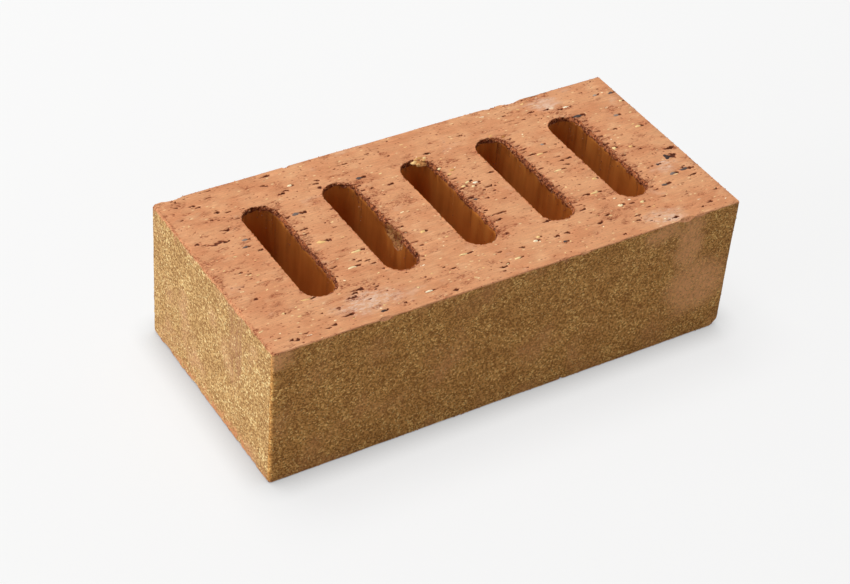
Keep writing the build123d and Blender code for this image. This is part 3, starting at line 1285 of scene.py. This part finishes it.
def lump_tree():
    """The node tree that scatters lumps, and the identifiers of its inputs by name."""
    tree = bpy.data.node_groups.new("lumps_on_skin", "GeometryNodeTree")
    inputs = {}
    for name, kind in LUMP_SETTINGS.items():
        kind = "NodeSocket" + kind
        socket = tree.interface.new_socket(name=name, in_out="INPUT", socket_type=kind)
        inputs[name] = socket.identifier
    tree.interface.new_socket(name="Lumps", in_out="OUTPUT", socket_type="NodeSocketGeometry")
    nodes = Nodes(tree)
    given = nodes.add("NodeGroupInput").outputs
    balls = put_balls(nodes, given)
    place = nodes.output("GeometryNodeInputPosition")
    uneven = {"Vector": place, "Scale": 1 / DENT_SIZE, "Detail": 1.0}
    dents = {0: nodes.add("ShaderNodeTexNoise", uneven).outputs["Color"], 1: (0.5, 0.5, 0.5)}
    centred = nodes.output("ShaderNodeVectorMath", dents, operation="SUBTRACT")
    moved = {"Geometry": balls, "Offset": nodes.scaled(centred, given["Dents"])}
    dented = nodes.output("GeometryNodeSetPosition", moved)
    painted = {"Geometry": dented, "Material": given["Finish"]}
    nodes.add("NodeGroupOutput", {"Lumps": nodes.output("GeometryNodeSetMaterial", painted)})
    return tree, inputs


LUMPS, LUMP_INPUTS = lump_tree()
print("settings of the lump tree:", list(LUMP_INPUTS))

# %% [markdown]
# Every lump is one colour, so its faces can share one small square of a texture. Row by
# row, each lump gets a square of its own.

# %% Texture squares for lumps
BAKE_MAP = "OFBake"


def keep_inside(mesh, corners_each):
    """Pushes each lump back to where it stays inside the brick's real size."""
    points = coordinates(mesh).reshape(-1, corners_each, 3)
    under = LOWEST - points.min(axis=1)
    over = HIGHEST - points.max(axis=1)
    points += (np.maximum(under, 0) + np.minimum(over, 0))[:, None, :]
    move_vertices(mesh, points)


def square_for_each_lump(mesh, corners_each):
    """Gives each lump one square of the texture. corners_each is the vertices in one lump."""
    count = len(mesh.vertices) // corners_each
    side = math.ceil(math.sqrt(count))
    points = coordinates(mesh).reshape(count, corners_each, 3)
    low, high = points.min(axis=1, keepdims=True), points.max(axis=1, keepdims=True)
    inside = ((points - low) / (high - low))[:, :, [0, 2]] * 0.6 + 0.2
    number = np.arange(count)
    square = np.stack([number % side, number // side], axis=1)[:, None, :]
    spots = ((square + inside) / side).reshape(-1, 2)
    corners = np.empty(len(mesh.loops), np.int32)
    mesh.loops.foreach_get("vertex_index", corners)
    layer = mesh.uv_layers.new(name=BAKE_MAP)
    layer.data.foreach_set("uv", spots[corners].astype(np.float32).ravel())
    print(mesh.name, "lumps:", count, "faces:", len(mesh.polygons))


def add_lumps(name, mesh, smoothness):
    """Adds a mesh of lumps, each a ball with this many splits, as a piece."""
    corners_each = 10 * 4 ** (smoothness - 1) + 2
    keep_inside(mesh, corners_each)
    square_for_each_lump(mesh, corners_each)
    add_piece(name, mesh)


# %% [markdown]
# The masks say where lumps may lie: sand on the four sides, flecks on the cut faces away
# from their edges, and crumbs where the clay was torn.

# %% Masks for the lumps


def read_mask(mesh, name):
    """A mask kept on the mesh, as an array."""
    return read_array(mesh.attributes[name].data, "value")[:, 0]


def write_lump_masks(mesh):
    """Works out where each kind of lump may lie, and keeps it on the mesh."""
    points, normals = coordinates(mesh), vertex_normals(mesh)
    gap, _ = from_slot(points)
    depth = from_side(points)
    side = ease(np.abs(normals[:, 2]), 0.5, 0.3) * (depth < gap)
    level = ease(np.abs(normals[:, 2]), 0.8, 0.95)
    torn, mouth = read_mask(mesh, "torn"), read_mask(mesh, "mouth")
    worn = ease(noise(points, 26, 61), 0.1, 0.6)
    bare = np.max([read_mask(mesh, name) for name in ("rubbed", "scraped", "bare")], axis=0)
    crumbly = ease(torn, 0.4, 0.9) * ease(np.minimum(gap, depth), 2.5 * MM, 1.5 * MM)
    write_masks(
        mesh,
        sand_here=side * (1 - torn) * (1 - 0.6 * worn) * (1 - 0.7 * bare),
        fleck_here=level * ease(gap, 1.5 * MM, 3 * MM) * ease(depth, 1.5 * MM, 3 * MM),
        crumb_here=np.maximum(0.45 * crumbly, 0.7 * mouth),
    )


write_lump_masks(body_mesh)

# %% [markdown]
# Sand grains. They are real ones, in shades from brown to straw, and stand out of the skin
# by less than the depth that it was sunk.

# %% Sand grains
GRAIN_BROWN = colour(150, 108, 62)
GRAIN_OCHRE = colour(196, 152, 92)
GRAIN_STRAW = colour(232, 204, 140)


def lump_material(name, low, middle, high, roughness=0.85):
    """One colour a lump, blended between three by its tone."""
    finish = Finish(name, roughness)
    tone = finish.mask("tone")
    tint = finish.blend(finish.ramp(tone, 0.0, 0.6), low, middle)
    finish.paint(finish.blend(finish.ramp(tone, 0.6, 1.0), tint, high))
    return finish.made


def scatter_lumps(name, settings):
    """Runs the tree on a copy of the body's mesh, and adds the lumps as a piece."""
    thing = add_object(name, body_mesh.copy())
    scatter = thing.modifiers.new("scatter", "NODES")
    scatter.node_group = LUMPS
    for label, value in settings.items():
        scatter[LUMP_INPUTS[label]] = value
    made = evaluated_copy(thing)
    bpy.data.objects.remove(thing)
    made.name = name
    add_lumps(name, made, settings["Smoothness"])


scatter_lumps(
    "sand_grains",
    {
        "Mask": "sand_here",
        "Density": 0.30 / MM**2,
        "Least size": (0.16 * MM, 0.16 * MM, 0.14 * MM),
        "Most size": (0.42 * MM, 0.36 * MM, 0.3 * MM),
        "Turn": 1.0,
        "Sunk": 0.25,
        "Dents": 0.1 * MM,
        "Smoothness": 1,
        "Seed": 41,
        "Finish": lump_material("sand_grain", GRAIN_BROWN, GRAIN_OCHRE, GRAIN_STRAW),
    },
)

# %% [markdown]
# Crumbs. Where the wire broke the clay, bits of it stayed behind on the torn edges.

# %% Torn crumbs
scatter_lumps(
    "torn_crumbs",
    {
        "Mask": "crumb_here",
        "Density": 1.4 / MM**2,
        "Least size": (0.12 * MM, 0.12 * MM, 0.1 * MM),
        "Most size": (0.5 * MM, 0.4 * MM, 0.32 * MM),
        "Turn": 1.0,
        "Sunk": 0.35,
        "Dents": 0.35 * MM,
        "Smoothness": 1,
        "Seed": 52,
        "Finish": lump_material("clay_crumb", CLAY_RIPPED, CLAY_TORN, CLAY),
    },
)

# %% [markdown]
# Flecks. Soft cream and white grains in the clay were smeared by the wire, so they are flat
# and long, and all lie along the wire's way.

# %% Cream flecks
FLECK_STRAW = colour(234, 192, 126)
FLECK_CREAM = colour(246, 220, 160)
FLECK_WHITE = colour(252, 242, 214)
scatter_lumps(
    "cream_flecks",
    {
        "Mask": "fleck_here",
        "Density": 0.009 / MM**2,
        "Least size": (0.2 * MM, 0.14 * MM, 0.1 * MM),
        "Most size": (1.3 * MM, 0.4 * MM, 0.2 * MM),
        "Turn": 0.05,
        "Sunk": 0.6,
        "Dents": 0.6 * MM,
        "Smoothness": 2,
        "Seed": 63,
        "Finish": lump_material("fleck", FLECK_STRAW, FLECK_CREAM, FLECK_WHITE),
    },
)

# %% [markdown]
# The stones themselves. Each is a ball dented by noise and flattened, with its top just
# under the brick's real size, so it stands a little out of the sunken skin. A heap of crumbs
# sits on the far rim of the middle slot and hangs over its mouth.

# %% Stones and the overhanging heap
STONE_SMOOTHNESS = 3
STONE_TOP = 0.08 * MM
HEAP = [
    (110.6, 21.4, 4.2, 2.8, 2.0),
    (112.9, 21.0, 3.0, 2.3, 1.7),
    (108.6, 20.6, 2.6, 2.0, 1.4),
    (111.6, 23.0, 3.0, 2.0, 2.0),
    (109.6, 22.4, 2.2, 1.6, 1.6),
    (114.2, 19.8, 2.2, 1.7, 1.2),
    (112.2, 19.0, 2.8, 1.5, 1.0),
    (110.2, 19.2, 1.8, 1.2, 0.9),
]
RIM_CRUMBS = [
    (115.6, 29.0, 1.6, 1.1, 0.8),
    (120.0, 32.0, 2.4, 1.3, 0.8),
    (117.6, 34.2, 2.0, 1.1, 0.7),
    (151.8, 21.0, 2.2, 1.6, 1.0),
    (147.0, 18.6, 1.8, 1.2, 0.8),
]


def stone(place, size, seed):
    """One dented ball with its own place, size and turn about the upright."""
    builder = bmesh.new()
    bmesh.ops.create_icosphere(builder, subdivisions=STONE_SMOOTHNESS, radius=1.0)
    corners = np.array([corner.co for corner in builder.verts])
    faces = np.array([[corner.index for corner in face.verts] for face in builder.faces])
    builder.free()
    spots = (corners + 9) * MM
    dents = 1 + 0.42 * noise(spots, 0.8, seed) + 0.22 * noise(spots, 0.35, seed + 500)
    turn = 0.3 * noise(np.full((1, 3), 0.5 * MM), 0.31, seed)[0]
    turned = corners * dents[:, None] * size / 2 @ np.array(Matrix.Rotation(-turn, 3, "Z"))
    return turned + place, faces


def lay_stones(name, rows, finish):
    """Joins stones, given like the lists above, into one mesh, and adds it as a piece."""
    points, faces, tones = [], [], []
    for number, (left, back, *size) in enumerate(rows):
        size = np.array(size) * MM
        place = [*from_left_and_back(left, back), HEIGHT - STONE_TOP - size[2] / 2]
        corners, triangles = stone(place, size, 90 + number)
        points.append(corners)
        faces.append(triangles + number * len(corners))
        tones.append(np.full(len(corners), (number * 0.37) % 1.0))
    mesh = bpy.data.meshes.new(name)
    mesh.from_pydata(np.concatenate(points).tolist(), [], np.concatenate(faces).tolist())
    mesh.polygons.foreach_set("use_smooth", np.ones(len(mesh.polygons), bool))
    write_masks(mesh, tone=np.concatenate(tones))
    mesh.materials.append(finish)
    add_lumps(name, mesh, STONE_SMOOTHNESS)


dark = (colour(62, 46, 42), colour(102, 88, 82), colour(168, 152, 138))
cream = (FLECK_STRAW, FLECK_CREAM, FLECK_WHITE)
crumbs = (colour(176, 118, 66), colour(226, 178, 112), colour(246, 222, 166))
lay_stones("dark_stones", DARK_STONES, lump_material("dark_stone", *dark, 0.7))
lay_stones("cream_stones", CREAM_STONES, lump_material("cream_stone", *cream))
lay_stones("rim_heap", HEAP + RIM_CRUMBS, lump_material("heap_crumb", *crumbs))
